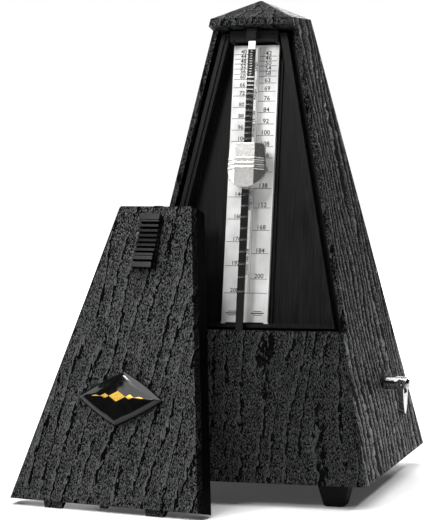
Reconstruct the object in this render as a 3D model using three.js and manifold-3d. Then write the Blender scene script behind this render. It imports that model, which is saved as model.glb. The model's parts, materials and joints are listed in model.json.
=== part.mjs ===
// Mechanical pyramid metronome with its front cover lifted off and leaning beside it.
// Millimetres, +Z up. The scale faces -Y and the winding key is on the +X side.
import * as THREE from 'three';
import { mergeVertices } from 'three/addons/utils/BufferGeometryUtils.js';
import Module from 'manifold-3d';

// ---- Case: a square pyramid with a shallow hip roof ----
const FOOT_HEIGHT = 10.5;
const BASE_SIDE = 126;
const EAVE_SIDE = 38.7;
const EAVE_Z = 217.5;
const APEX_Z = 226;
const WALL = 2.4;
const CORNER_CHAMFER = 1.9;
const ROOF_THICKNESS = 4;

// ---- Front opening, in heights up the slope of the front face ----
const SILL_UP = 67.9;
const HEAD_UP = 208.3;
const SIDE_RECESS = 10;
const PANEL_BACK = 19;
const PANEL_DEPTH = 16.9;
const MOULDING_INSET = 5.3;
const MOULDING_DEPTH = 8.9;
const MOULDING_STEPS = [
  { inset: 7.1, depth: 9.7 },
  { inset: 8.8, depth: 15.9 },
  { inset: 9.7, depth: PANEL_DEPTH },
];

// ---- Scale, rod and weight: depths behind the front face ----
const SCALE_DEPTH = 13.7;
const SCALE_WIDTH = 21.8;
const SCALE_BOTTOM_UP = 72.8;
const SCALE_TOP_UP = 201.8;
const ROD_DEPTH = 5.8;
const ROD_THICKNESS = 1;
const ROD_WIDTH = 3.5;
const ROD_TIP_UP = 206;
const PIVOT_UP = 60;
const WEIGHT_DEPTH = 2.6;
const WEIGHT_THICKNESS = 5.6;
const WEIGHT_TOP_UP = 154;
const WEIGHT_HEIGHT = 20.7;
const WEIGHT_HALF_WIDTH = 8.8;
const WEIGHT_FLAT_HALF = 4.6;
const WEIGHT_FLANK_FALL = 3.4;
const WEIGHT_ROUND = 1.8;
const RIB_DROPS = [7.4, 9.5, 11.6];
const RIB_HALF = 0.55;
const RIB_PROUD = 0.5;
const COUNTERWEIGHT_THICKNESS = 11.3;
const COUNTERWEIGHT_RADIUS = 13.8;
const COUNTERWEIGHT_DROP = 38;

// ---- Tempo law of the loaded pendulum: beats per minute to height up the slope ----
const GRAVITY = 9810;
const LAW_REACH = 138.4;
const LAW_INERTIA = 9739;
const LAW_ZERO_UP = 71;
const TEMPOS = [
  40, 42, 44, 46, 48, 50, 52, 54, 56, 58, 60, 63, 66, 69, 72, 76, 80, 84, 88, 92,
  96, 100, 104, 108, 112, 116, 120, 126, 132, 138, 144, 152, 160, 168, 176, 184, 192, 200, 208,
];

// ---- Movement ----
const BARREL = { y: 9.7, z: 46.9 };
const PLATE_LEFT = { from: -16, to: -14.5 };
const PLATE_RIGHT = { from: 22, to: 23.5 };
const GREAT_WHEEL = { teeth: 66, module: 0.6, x0: 5, x1: 7 };
const SECOND_PINION = { teeth: 12, module: 0.6, x0: 4.5, x1: 7.5 };
const SECOND_WHEEL = { teeth: 54, module: 0.5, x0: -4.2, x1: -3 };
const ESCAPE_PINION = { teeth: 12, module: 0.5, x0: -5.2, x1: -2 };
const ESCAPE_WHEEL = { teeth: 20, radius: 14, x0: -0.6, x1: 0.6 };
const MESH_SLACK = 0.15;
const TO_SECOND_DEG = 212.6;
const TO_ESCAPE_DEG = 145;
const GAP = 0.3;

// ---- Key ----
const SHAFT_RADIUS = 3;
const KEY_REACH = 12;
const KEY_PIN_X = 8.6;

// ---- Cover ----
const COVER_SKIN = 1.8;
const COVER_RETURN = 9.4;
const TAB_HEIGHT = 2.7;
const TAB_NEAR = 1.6;
const TAB_FAR = 3.4;
const COVER_BOTTOM_UP = 68.3;
const COVER_TOP_UP = 207.9;
const COVER_YAW_DEG = -9.7;
const COVER_LEAN_DEG = 22.6;
const COVER_STAND = { x: -49.3, y: -92.6 };
const TAB_ACROSS = 26;
const BADGE_HALF_WIDTH = 21.7;
const BADGE_HALF_HEIGHT = 12.7;
const BADGE_UP = 50.9;
const BUMP_NEAR = 1.2;
const BUMP_FAR = 2.5;

// ---- Latch, in cover space ----
const LATCH_UP = 124.6;
const LATCH_LENGTH = 25.6;
const BOLT_NEAR = 2.15;
const BOLT_FAR = 3.6;
const BOLT_TIP_UP = 143.4;
const SPRING_FOOT_UP = 108.4;
const CATCH_LIP_NEAR = 3.9;
const CATCH_LIP_FAR = 5.3;
const CATCH_HALF_WIDTH = 11.5;
const CATCH_TOP_UP = 207.6;

const wasm = await Module();
wasm.setup();

// ================= Solids =================

// Turns a three.js geometry into a solid that can be cut and joined.
function toSolid(geometry) {
  const bare = new THREE.BufferGeometry();
  bare.setAttribute('position', geometry.getAttribute('position'));
  if (geometry.index) bare.setIndex(geometry.index);
  const merged = mergeVertices(bare, 1e-4);
  return new wasm.Manifold(new wasm.Mesh({
    numProp: 3,
    vertProperties: new Float32Array(merged.getAttribute('position').array),
    triVerts: new Uint32Array(merged.index.array),
  }));
}

function toGeometry(solid) {
  const mesh = solid.getMesh();
  const geometry = new THREE.BufferGeometry();
  geometry.setAttribute('position', new THREE.BufferAttribute(mesh.vertProperties, 3));
  geometry.setIndex(new THREE.BufferAttribute(mesh.triVerts, 1));
  const faceted = geometry.toNonIndexed();
  faceted.computeVertexNormals();
  return faceted;
}

// An outline of [a, b] points pushed along the third axis from `from` to `to`.
function prism(outline, from, to) {
  const shape = new THREE.Shape(outline.map(([a, b]) => new THREE.Vector2(a, b)));
  const pushed = new THREE.ExtrudeGeometry(shape, { depth: to - from, bevelEnabled: false });
  return toSolid(pushed).translate([0, 0, from]);
}

function placed(solid, matrix) {
  return solid.transform(matrix.elements);
}

function frame(across, up, out, origin) {
  const matrix = new THREE.Matrix4().makeBasis(across, up, out);
  return matrix.setPosition(origin);
}

const ALONG_X = frame(
  new THREE.Vector3(0, 1, 0), new THREE.Vector3(0, 0, 1), new THREE.Vector3(1, 0, 0),
  new THREE.Vector3(),
);

// A [y, z] outline pushed along X.
function slabX(outline, x0, x1) {
  return placed(prism(outline, x0, x1), ALONG_X);
}

function box(x0, x1, y0, y1, z0, z1) {
  const block = new THREE.BoxGeometry(x1 - x0, y1 - y0, z1 - z0);
  return toSolid(block).translate([(x0 + x1) / 2, (y0 + y1) / 2, (z0 + z1) / 2]);
}

function circle(radius, count, a = 0, b = 0) {
  const points = [];
  for (let i = 0; i < count; i += 1) {
    const turn = (2 * Math.PI * i) / count;
    points.push([a + radius * Math.cos(turn), b + radius * Math.sin(turn)]);
  }
  return points;
}

// A round bar along X about the point [y, z].
function barX(radius, x0, x1, at, sides = 24) {
  return slabX(circle(radius, sides, at.y, at.z), x0, x1);
}

// A turned solid about local Z from [radius, height] pairs.
function turned(profile, sides = 24) {
  const lathe = new THREE.LatheGeometry(profile.map(([r, h]) => new THREE.Vector2(r, h)), sides);
  lathe.rotateX(Math.PI / 2);
  return toSolid(lathe);
}

function joinAll(solids) {
  return solids.reduce((sum, next) => sum.add(next));
}

// A closed surface through rings of equal point count, capped at both ends.
function loft(rings) {
  const points = rings.flat();
  const count = rings[0].length;
  const faces = [];
  for (let level = 0; level + 1 < rings.length; level += 1) {
    for (let i = 0; i < count; i += 1) {
      const a = level * count + i;
      const b = level * count + ((i + 1) % count);
      faces.push(a, b, b + count, a, b + count, a + count);
    }
  }
  const top = (rings.length - 1) * count;
  for (let i = 1; i + 1 < count; i += 1) {
    faces.push(0, i + 1, i);
    faces.push(top, top + i, top + i + 1);
  }
  const geometry = new THREE.BufferGeometry();
  geometry.setAttribute('position', new THREE.Float32BufferAttribute(points.flat(), 3));
  geometry.setIndex(faces);
  return toSolid(geometry);
}

// ================= The leaning front face =================

const SLOPE = (BASE_SIDE - EAVE_SIDE) / 2 / (EAVE_Z - FOOT_HEIGHT);
const LEAN = Math.atan(SLOPE);
const UP_SLOPE = new THREE.Vector3(0, Math.sin(LEAN), Math.cos(LEAN));
const OUT_OF_FACE = new THREE.Vector3(0, -Math.cos(LEAN), Math.sin(LEAN));
const FACE_FOOT = new THREE.Vector3(0, -BASE_SIDE / 2, FOOT_HEIGHT);
const FRONT = frame(new THREE.Vector3(1, 0, 0), UP_SLOPE, OUT_OF_FACE, FACE_FOOT);

// Front space: across, up the slope, out of the face. Pieces made in it hang in one leaning group.
function frontSlab(outline, nearDepth, farDepth) {
  return prism(outline, -farDepth, -nearDepth);
}

function frontBox(across0, across1, up0, up1, nearDepth, farDepth) {
  const outline = [[across0, up0], [across1, up0], [across1, up1], [across0, up1]];
  return frontSlab(outline, nearDepth, farDepth);
}

// A turned piece whose axis goes straight into the front face.
function frontTurned(profile, across, up, sides = 24) {
  return turned(profile, sides).translate([across, up, 0]);
}

function halfWidthAtZ(z) {
  return BASE_SIDE / 2 - SLOPE * (z - FOOT_HEIGHT);
}

function halfWidthOnFace(up, depth) {
  const z = FOOT_HEIGHT + up * Math.cos(LEAN) - depth * Math.sin(LEAN);
  return halfWidthAtZ(z);
}

// The case outline between two heights up the slope, drawn in by `inset` at its sides.
function taperOutline(inset, up0, up1, depth) {
  const low = halfWidthOnFace(up0, depth) - inset;
  const high = halfWidthOnFace(up1, depth) - inset;
  return [[-low, up0], [low, up0], [high, up1], [-high, up1]];
}

function tempoUp(beats) {
  const rate = (Math.PI * beats) / 60;
  const g = GRAVITY * Math.cos(LEAN);
  const inside = g * g - 4 * rate * rate * (rate * rate * LAW_INERTIA - g * LAW_REACH);
  return LAW_ZERO_UP + (Math.sqrt(inside) - g) / (2 * rate * rate);
}

// ================= Case =================

function squareRing(half, chamfer, z) {
  const inner = half - chamfer;
  return [
    [inner, -half, z], [half, -inner, z], [half, inner, z], [inner, half, z],
    [-inner, half, z], [-half, inner, z], [-half, -inner, z], [-inner, -half, z],
  ];
}

function caseCavity() {
  return loft([
    squareRing(halfWidthAtZ(FOOT_HEIGHT - 1) - WALL, 1, FOOT_HEIGHT - 1),
    squareRing(EAVE_SIDE / 2 - WALL, 1, EAVE_Z - 1),
    squareRing(1, 0.3, APEX_Z - ROOF_THICKNESS),
  ]);
}

function caseShell() {
  const outside = loft([
    squareRing(BASE_SIDE / 2, CORNER_CHAMFER, FOOT_HEIGHT),
    squareRing(EAVE_SIDE / 2, CORNER_CHAMFER, EAVE_Z),
    squareRing(0.5, 0.15, APEX_Z),
  ]);
  const sill = frontBox(-60, 60, SILL_UP - 2.5, SILL_UP, -1, PANEL_BACK);
  const soffit = frontBox(-30, 30, HEAD_UP, HEAD_UP + 5, -1, PANEL_BACK);
  const cavity = caseCavity().subtract(placed(sill.add(soffit), FRONT));
  const tabSlots = [-TAB_ACROSS, TAB_ACROSS].map((across) => {
    return frontBox(across - 5.8, across + 5.8, SILL_UP - 3, SILL_UP + 1, TAB_NEAR - GAP, TAB_FAR + GAP);
  });
  const frontCuts = [
    frontBox(-60, 60, SILL_UP, HEAD_UP, -5, SIDE_RECESS),
    frontBox(-17, 17, SILL_UP - 3, SILL_UP + 1, WALL, 14),
    frontBox(-4, 4, HEAD_UP - 1, HEAD_UP + 3.2, BOLT_NEAR - GAP, BOLT_FAR + 0.6),
    frontBox(-2.6, 2.6, SILL_UP - 1.2, SILL_UP + 1, BUMP_NEAR - GAP, BUMP_FAR + GAP),
    ...tabSlots,
  ];
  const keyHole = barX(5.2, 40, 70, BARREL, 32);
  return outside.subtract(cavity).subtract(placed(joinAll(frontCuts), FRONT)).subtract(keyHole);
}

// The black inner frame: a slab whose stepped moulding sinks to a flat panel.
function frontPanel() {
  const bottomUp = (inset) => SILL_UP + 2 + (inset - MOULDING_INSET) * 0.55;
  const topUp = (inset) => HEAD_UP - 2 - (inset - MOULDING_INSET) * 0.35;
  const layer = (inset, near, far) => {
    return frontSlab(taperOutline(inset, bottomUp(inset), topUp(inset), near), near, far);
  };
  const slab = frontSlab(taperOutline(3.2, SILL_UP + GAP, HEAD_UP - GAP, 14), 14, PANEL_BACK);
  const above = MOULDING_DEPTH - 2;
  let body = slab.add(layer(MOULDING_INSET, MOULDING_DEPTH, PANEL_BACK - 1));
  for (const { inset, depth } of MOULDING_STEPS) body = body.subtract(layer(inset, above, depth));
  const channelHalf = SCALE_WIDTH / 2 + 1.9;
  const catchHalf = CATCH_HALF_WIDTH + 0.4;
  body = body.subtract(
    frontBox(-channelHalf, channelHalf, SCALE_BOTTOM_UP - 1.6, SCALE_TOP_UP + 1, 12, PANEL_DEPTH),
  );
  return body.subtract(frontBox(-catchHalf, catchHalf, SCALE_TOP_UP, HEAD_UP + 1, above, 15.8));
}

function scaleBacking() {
  const half = SCALE_WIDTH / 2 + 1.6;
  return frontBox(-half, half, SCALE_BOTTOM_UP - 0.6, SCALE_TOP_UP - 6, 16, 16.6);
}

// Sheet with both long edges folded back, stood on two small feet.
function scalePlate() {
  const half = SCALE_WIDTH / 2;
  const sheet = frontBox(-half, half, SCALE_BOTTOM_UP, SCALE_TOP_UP, SCALE_DEPTH, SCALE_DEPTH + 0.6);
  const folds = [-1, 1].map((side) => {
    const edge = side * (half - 0.3);
    return frontBox(edge - 0.3, edge + 0.3, SCALE_BOTTOM_UP, SCALE_TOP_UP, SCALE_DEPTH, 15.7);
  });
  const feet = [-1, 1].map((side) => {
    const toe = [[half - 1.8, -1.1], [half + 0.7, -1.1], [half, 0.4], [half - 1.8, 0.4]];
    const outline = toe.map(([a, b]) => [side * a, SCALE_BOTTOM_UP + b]);
    return frontSlab(side > 0 ? outline : outline.reverse(), SCALE_DEPTH, SCALE_DEPTH + 0.6);
  });
  return joinAll([sheet, ...folds, ...feet]);
}

// Bar under the head with a lip that hides the tip of the rod.
function pendulumCatch() {
  const top = CATCH_TOP_UP;
  const half = CATCH_HALF_WIDTH;
  const near = 8.2;
  const bar = frontBox(-half, half, top - 4.4, top, near, 14.5);
  const ears = [-1, 1].map((side) => {
    return frontBox(-0.9, 0.9, top - 5.4, top, near, 15.4).translate([side * (half - 0.9), 0, 0]);
  });
  const bridge = frontBox(-2.4, 2.4, top - 1.2, top, CATCH_LIP_NEAR, near + 0.8);
  const lip = frontBox(-2.4, 2.4, top - 5.2, top, CATCH_LIP_NEAR, CATCH_LIP_FAR);
  return joinAll([bar, ...ears, bridge, lip]);
}

// ================= Bottom =================

function bottomPlate() {
  const low = halfWidthAtZ(FOOT_HEIGHT) - WALL - 0.6;
  const high = halfWidthAtZ(FOOT_HEIGHT + 2.5) - WALL - 0.6;
  let plate = loft([
    squareRing(low, 1, FOOT_HEIGHT),
    squareRing(high, 1, FOOT_HEIGHT + 2.5),
  ]);
  for (const [x, y] of SCREW_SPOTS) {
    plate = plate.subtract(turned([[0, 0], [1.7, 0], [1.7, 9], [0, 9]], 16).translate([x, y, 6]));
  }
  return plate;
}

const SCREW_SPOTS = [[-30, -30], [30, -30], [-30, 34], [30, 34]];
const FOOT_SPOTS = [['front_left', -46.5, -51.5], ['front_right', 46.5, -51.5], ['rear', 0, 50]];

// Square rubber block, drawn in towards the table, with rounded corners.
function foot(x, y) {
  const ring = (half, round, z) => {
    const points = [];
    for (let corner = 0; corner < 4; corner += 1) {
      const centre = (Math.PI / 4) + (corner * Math.PI) / 2;
      const reach = (half - round) * Math.SQRT2;
      for (let step = -2; step <= 2; step += 1) {
        const turn = centre + (step * Math.PI) / 8;
        const px = reach * Math.cos(centre) + round * Math.cos(turn);
        const py = reach * Math.sin(centre) + round * Math.sin(turn);
        points.push([x + px, y + py, z]);
      }
    }
    return points;
  };
  return loft([ring(4.3, 1.6, 0), ring(4.9, 1.7, 0.7), ring(7.2, 2, FOOT_HEIGHT - GAP)]);
}

function bottomScrew(x, y) {
  const body = turned([[0, -1.4], [2.9, -1.4], [2.9, 0], [1.4, 0], [1.4, 4.2], [0, 4.2]], 20);
  const slot = box(-4, 4, -0.35, 0.35, -2, -0.7);
  return body.subtract(slot).translate([x, y, FOOT_HEIGHT - 0.15]);
}

// ================= Gears =================

function around(at, angleDeg, distance) {
  const turn = THREE.MathUtils.degToRad(angleDeg);
  return { y: at.y + distance * Math.cos(turn), z: at.z + distance * Math.sin(turn) };
}

function pitchRadius(gear) {
  return (gear.teeth * gear.module) / 2;
}

// Involute outline with a tooth centred on `phaseDeg`, thinned for running clearance.
function gearOutline(gear, at, phaseDeg) {
  const pitch = pitchRadius(gear);
  const base = pitch * Math.cos(THREE.MathUtils.degToRad(20));
  const tip = pitch + 0.8 * gear.module;
  const root = pitch - 1.15 * gear.module;
  const involute = (radius) => {
    const ratio = Math.min(1, base / Math.max(radius, base));
    const pressure = Math.acos(ratio);
    return Math.tan(pressure) - pressure;
  };
  const halfPitchTooth = (Math.PI / 2 - 0.22) / gear.teeth;
  const halfTooth = (radius) => halfPitchTooth + involute(pitch) - involute(radius);
  const heights = [root, Math.max(base, root + 0.05), (base + tip) / 2, tip];
  const points = [];
  for (let tooth = 0; tooth < gear.teeth; tooth += 1) {
    const centre = THREE.MathUtils.degToRad(phaseDeg) + (2 * Math.PI * tooth) / gear.teeth;
    const rising = heights.map((radius) => [radius, centre - halfTooth(radius)]);
    const falling = [...heights].reverse().map((radius) => [radius, centre + halfTooth(radius)]);
    for (const [radius, turn] of [...rising, ...falling]) {
      points.push([at.y + radius * Math.cos(turn), at.z + radius * Math.sin(turn)]);
    }
  }
  return points;
}

function gearSolid(gear, at, phaseDeg) {
  return slabX(gearOutline(gear, at, phaseDeg), gear.x0, gear.x1);
}

// The follower has a tooth gap where the driver has a tooth.
function meshPhase(driver, driverPhase, follower, directionDeg) {
  const driverTurn = ((directionDeg - driverPhase) * driver.teeth) / 360;
  const overshoot = driverTurn - Math.floor(driverTurn);
  return directionDeg + 180 + ((0.5 + overshoot) * 360) / follower.teeth;
}

const SECOND = around(
  BARREL, TO_SECOND_DEG, pitchRadius(GREAT_WHEEL) + pitchRadius(SECOND_PINION) + MESH_SLACK,
);
const ESCAPE = around(
  SECOND, TO_ESCAPE_DEG, pitchRadius(SECOND_WHEEL) + pitchRadius(ESCAPE_PINION) + MESH_SLACK,
);
const SECOND_PHASE = meshPhase(GREAT_WHEEL, TO_SECOND_DEG, SECOND_PINION, TO_SECOND_DEG);
const ESCAPE_PHASE = meshPhase(SECOND_WHEEL, TO_ESCAPE_DEG, ESCAPE_PINION, TO_ESCAPE_DEG);

// Cuts wide windows between spokes.
function spoked(wheel, at, inner, outer, spokes, x0, x1) {
  let result = wheel;
  for (let i = 0; i < spokes; i += 1) {
    const window = [];
    const start = (2 * Math.PI * i) / spokes + 0.22;
    const sweep = (2 * Math.PI) / spokes - 0.44;
    for (let step = 0; step <= 5; step += 1) {
      const turn = start + (sweep * step) / 5;
      window.push([at.y + outer * Math.cos(turn), at.z + outer * Math.sin(turn)]);
    }
    for (let step = 3; step >= 0; step -= 1) {
      const turn = start + (sweep * step) / 3;
      window.push([at.y + inner * Math.cos(turn), at.z + inner * Math.sin(turn)]);
    }
    result = result.subtract(slabX(window, x0 - 1, x1 + 1));
  }
  return result;
}

function greatWheel() {
  const wheel = gearSolid(GREAT_WHEEL, BARREL, TO_SECOND_DEG);
  return wheel.subtract(barX(3.3, 0, 30, BARREL, 32));
}

function barrel() {
  const cup = barX(17, 7 + GAP, 18, BARREL, 48);
  const hollow = barX(16, 8.4, 19, BARREL, 48);
  return cup.subtract(hollow).subtract(barX(3.3, 0, 30, BARREL, 32));
}

function barrelLid() {
  return barX(15.7, 17, 18, BARREL, 48).subtract(barX(3.3, 0, 30, BARREL, 32));
}

// Flat strip wound from the arbor out to the barrel wall.
function mainspring() {
  const turns = 7;
  const perTurn = 20;
  const inner = [];
  const outer = [];
  for (let i = 0; i <= turns * perTurn; i += 1) {
    const turn = (2 * Math.PI * i) / perTurn;
    const radius = 3.9 + (11.2 * i) / (turns * perTurn);
    inner.push([BARREL.y + radius * Math.cos(turn), BARREL.z + radius * Math.sin(turn)]);
    const far = radius + 0.45;
    outer.push([BARREL.y + far * Math.cos(turn), BARREL.z + far * Math.sin(turn)]);
  }
  return slabX([...outer, ...inner.reverse()], 9, 16.4);
}

function secondArbor() {
  const pinion = gearSolid(SECOND_PINION, SECOND, SECOND_PHASE);
  return pinion.add(barX(1, -14.2, 21.7, SECOND)).add(barX(0.7, -16.4, 23.9, SECOND, 16));
}

function secondWheel() {
  const wheel = gearSolid(SECOND_WHEEL, SECOND, TO_ESCAPE_DEG);
  const bored = wheel.subtract(barX(1.3, -9, 9, SECOND));
  return spoked(bored, SECOND, 4, 10.8, 4, SECOND_WHEEL.x0, SECOND_WHEEL.x1);
}

function escapeArbor() {
  const pinion = gearSolid(ESCAPE_PINION, ESCAPE, ESCAPE_PHASE);
  return pinion.add(barX(0.9, -14.2, 21.7, ESCAPE)).add(barX(0.6, -16.4, 23.9, ESCAPE, 16));
}

// Pointed teeth that lean one way.
function sawOutline(at, count, tip, root, phase) {
  const points = [];
  for (let i = 0; i < count; i += 1) {
    const start = phase + (2 * Math.PI * i) / count;
    const step = (2 * Math.PI) / count;
    const spots = [[root, start], [tip, start + step * 0.08], [tip, start + step * 0.2]];
    for (const [radius, turn] of spots) {
      points.push([at.y + radius * Math.cos(turn), at.z + radius * Math.sin(turn)]);
    }
  }
  return points;
}

function escapeWheel() {
  const { teeth, radius, x0, x1 } = ESCAPE_WHEEL;
  const disc = slabX(sawOutline(ESCAPE, teeth, radius, radius - 2.4, 0), x0, x1);
  const bored = disc.subtract(barX(1.2, -9, 9, ESCAPE));
  return spoked(bored, ESCAPE, 3.6, 9.6, 4, x0, x1);
}

// ================= Movement frame =================

const PILLAR_SPOTS = [
  { y: -31, z: 21 }, { y: 33, z: 21 }, { y: 30, z: 68 }, { y: -14, z: 69.3 },
];

function movementPlate({ from, to }, extraHoles = []) {
  const outline = [[-40.5, 16], [37, 16], [37, 60], [33, 72.5], [-4, 72.5], [-28.8, 74]];
  let plate = slabX(outline, from, to);
  const holes = [[SECOND, 0.95], [ESCAPE, 0.85], [BARREL, 3.6], ...extraHoles];
  for (const [spot, radius] of holes) {
    plate = plate.subtract(barX(radius, from - 1, to + 1, spot));
  }
  for (const spot of PILLAR_SPOTS) {
    plate = plate.subtract(barX(1.5, from - 1, to + 1, spot, 16));
  }
  return plate;
}

function pillar(spot) {
  const body = barX(2.4, PLATE_LEFT.to + GAP, PLATE_RIGHT.from - GAP, spot, 20);
  const neck = barX(1.2, PLATE_LEFT.from - 0.8, PLATE_RIGHT.to + 0.8, spot, 16);
  const heads = [[PLATE_LEFT.from - 1.2, PLATE_LEFT.from - 0.3], [23.8, 24.7]];
  return joinAll([body, neck, ...heads.map(([x0, x1]) => barX(2, x0, x1, spot, 16))]);
}

// ================= Winding work =================

// Arbor through the barrel, carrying the round end that stands out of the case.
function windingArbor() {
  const wallX = halfWidthAtZ(BARREL.z);
  const end = wallX + KEY_REACH;
  const profile = [
    [0, -16.4], [3, -16.4], [3, 24], [2.2, 24], [2.2, 26.6], [SHAFT_RADIUS, 26.6],
    [SHAFT_RADIUS, end - 1.2], [SHAFT_RADIUS - 0.9, end], [0, end],
  ];
  const bar = turned(profile, 32);
  const across = frame(
    new THREE.Vector3(0, 1, 0), new THREE.Vector3(0, 0, 1), new THREE.Vector3(1, 0, 0),
    new THREE.Vector3(0, BARREL.y, BARREL.z),
  );
  const pinHole = box(
    wallX + KEY_PIN_X - 0.95, wallX + KEY_PIN_X + 0.95, BARREL.y - 6, BARREL.y + 6,
    BARREL.z - 0.95, BARREL.z + 0.95,
  );
  return placed(bar, across).subtract(pinHole);
}

function ratchetWheel() {
  const disc = slabX(sawOutline(BARREL, 24, 8, 6.8, 0.05), 24.4, 26.2);
  return disc.subtract(barX(2.5, 20, 30, BARREL, 24));
}

const CLICK_PIVOT = { y: 21.6, z: 53.4 };

// Small lever resting just clear of the ratchet's tooth tips.
function click() {
  const outline = [
    [-2.4, -1.6], [1.4, -2.2], [2.2, 0], [1.4, 2.2], [-2.2, 2.4], [-6.4, 1.5], [-7.2, 0.2], [-5, -0.4],
  ];
  const spots = outline.map(([a, b]) => [CLICK_PIVOT.y + a * 0.95, CLICK_PIVOT.z + b]);
  return slabX(spots, 24.4, 26).subtract(barX(1.4, 20, 30, CLICK_PIVOT, 20));
}

function clickScrew() {
  const shank = barX(1, 22.4, 26.4, CLICK_PIVOT, 16);
  const head = barX(2, 26.3, 27.4, CLICK_PIVOT, 20);
  return shank.add(head);
}

function clickSpring() {
  const run = [[30, 46], [27.5, 52], [24.4, 56.2], [20, 57.6], [17.4, 56.9]];
  const back = run.map(([y, z]) => [y + 0.3, z + 0.55]).reverse();
  const strip = slabX([...run, ...back], 24.6, 25.8);
  const stud = barX(1.3, 23.8, 26.4, { y: 30.1, z: 45.6 }, 16);
  return strip.add(stud);
}

// ================= Pendulum =================

function frontBridge() {
  const plate = frontBox(-14.2, 21.7, 55.5, 69, 20.6, 22.1);
  return plate.subtract(frontTurned([[0, -24], [1.5, -24], [1.5, -18], [0, -18]], 0, PIVOT_UP));
}

function rearCock() {
  const plate = frontBox(-14.2, 3.6, 55.5, 67, 44.6, 46.1);
  return plate.subtract(frontTurned([[0, -48], [1.5, -48], [1.5, -42], [0, -42]], 0, PIVOT_UP));
}

function pendulumArbor() {
  return frontTurned([[0, -47], [1.2, -47], [1.2, -8.4], [0, -8.4]], 0, PIVOT_UP);
}

function pendulumHub() {
  const disc = frontTurned([[0, -14], [4.4, -14], [4.4, -7.1], [0, -7.1]], 0, PIVOT_UP, 32);
  return disc.subtract(frontTurned([[0, -15], [1.5, -15], [1.5, -8.1], [0, -8.1]], 0, PIVOT_UP));
}

// Flag on the arbor that rides just above the escape wheel's rim.
function pallet(depth, tiltDeg) {
  const collar = turned([[0, 0], [2.3, 0], [2.3, 3.4], [0, 3.4]], 20);
  const flag = box(-0.45, 0.45, -4, -1.6, 0.2, 3.2).rotate([0, 0, tiltDeg]);
  const bore = turned([[0, -1], [1.5, -1], [1.5, 5], [0, 5]], 20);
  const whole = collar.add(flag).subtract(bore);
  return whole.translate([0, PIVOT_UP, -depth - 1.7]);
}

// Flat strip with a shallow groove across its face at each tempo.
function pendulumRod() {
  const groove = 0.25;
  const half = 0.45;
  const nearFace = [[ROD_TIP_UP, -ROD_DEPTH]];
  for (const beats of TEMPOS) {
    const up = tempoUp(beats);
    nearFace.push([up + half, -ROD_DEPTH], [up, -ROD_DEPTH - groove], [up - half, -ROD_DEPTH]);
  }
  nearFace.push([12, -ROD_DEPTH]);
  const farFace = [[12, -ROD_DEPTH - ROD_THICKNESS], [ROD_TIP_UP, -ROD_DEPTH - ROD_THICKNESS]];
  return slabX([...nearFace, ...farFace], -ROD_WIDTH / 2, ROD_WIDTH / 2);
}

function counterweight() {
  const edge = -ROD_DEPTH - ROD_THICKNESS - GAP;
  const far = edge - COUNTERWEIGHT_THICKNESS;
  const rim = COUNTERWEIGHT_RADIUS;
  const profile = [[0, far], [rim - 1, far], [rim, far + 1], [rim, edge - 1], [rim - 1, edge], [0, edge]];
  return frontTurned(profile, 0, PIVOT_UP - COUNTERWEIGHT_DROP, 40);
}

// ================= Sliding weight =================

function weightOutline() {
  const top = WEIGHT_TOP_UP;
  const low = top - WEIGHT_HEIGHT;
  const half = WEIGHT_HALF_WIDTH;
  const points = [];
  for (let step = 0; step <= 16; step += 1) {
    const turn = Math.PI + (Math.PI * step) / 16;
    points.push([half * Math.cos(turn), low + half + half * Math.sin(turn)]);
  }
  const round = WEIGHT_ROUND;
  const shoulder = half - 0.45;
  for (const side of [1, -1]) {
    for (let step = 0; step <= 4; step += 1) {
      const along = side > 0 ? step : 4 - step;
      const turn = (Math.PI / 2) * (along / 4);
      const across = shoulder - round + round * Math.cos(turn);
      points.push([side * across, top - round + round * Math.sin(turn)]);
    }
  }
  return points;
}

// Section across the weight: flat in the middle, falling away in two flanks.
function weightSection(proud) {
  const near = WEIGHT_DEPTH - proud;
  const far = WEIGHT_DEPTH + WEIGHT_THICKNESS;
  const edge = WEIGHT_HALF_WIDTH + 0.4;
  return [
    [-edge, -far - 1], [edge, -far - 1], [edge, -near - WEIGHT_FLANK_FALL],
    [WEIGHT_FLAT_HALF, -near], [-WEIGHT_FLAT_HALF, -near], [-edge, -near - WEIGHT_FLANK_FALL],
  ];
}

function slideWeight() {
  const far = WEIGHT_DEPTH + WEIGHT_THICKNESS;
  const upright = frame(
    new THREE.Vector3(1, 0, 0), new THREE.Vector3(0, 0, 1), new THREE.Vector3(0, -1, 0),
    new THREE.Vector3(),
  );
  const shape = (proud) => {
    const section = placed(prism(weightSection(proud), -HEAD_UP, 0), upright);
    return frontSlab(weightOutline(), WEIGHT_DEPTH - proud, far).intersect(section);
  };
  const bands = RIB_DROPS.map((drop) => {
    const up = WEIGHT_TOP_UP - drop;
    return frontBox(-20, 20, up - RIB_HALF, up + RIB_HALF, 0, far);
  });
  const ribs = shape(RIB_PROUD).intersect(joinAll(bands));
  const half = ROD_WIDTH / 2 + GAP;
  const channel = frontBox(-half, half, SILL_UP, HEAD_UP, ROD_DEPTH - GAP, far + 1);
  return shape(0).add(ribs).subtract(channel);
}

// Bowed strip in the channel that presses on the back of the rod.
function weightSpring() {
  const up = WEIGHT_TOP_UP;
  const run = [[-3, 7.1], [-7.5, 7.4], [-10.3, 7.7], [-13, 7.4], [-17, 7.1]];
  const near = run.map(([drop, depth]) => [up + drop, -depth]);
  const far = run.map(([drop, depth]) => [up + drop, -depth - 0.3]).reverse();
  return slabX([...near, ...far], -1.6, 1.6);
}

// ================= Key =================

function keyBushing() {
  const wallX = halfWidthAtZ(BARREL.z);
  const ring = barX(4.9, wallX - 5, wallX + 0.6, BARREL, 32);
  return ring.subtract(barX(3.3, wallX - 6, wallX + 2, BARREL, 32));
}

function keyPinX() {
  return halfWidthAtZ(BARREL.z) + KEY_PIN_X;
}

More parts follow.
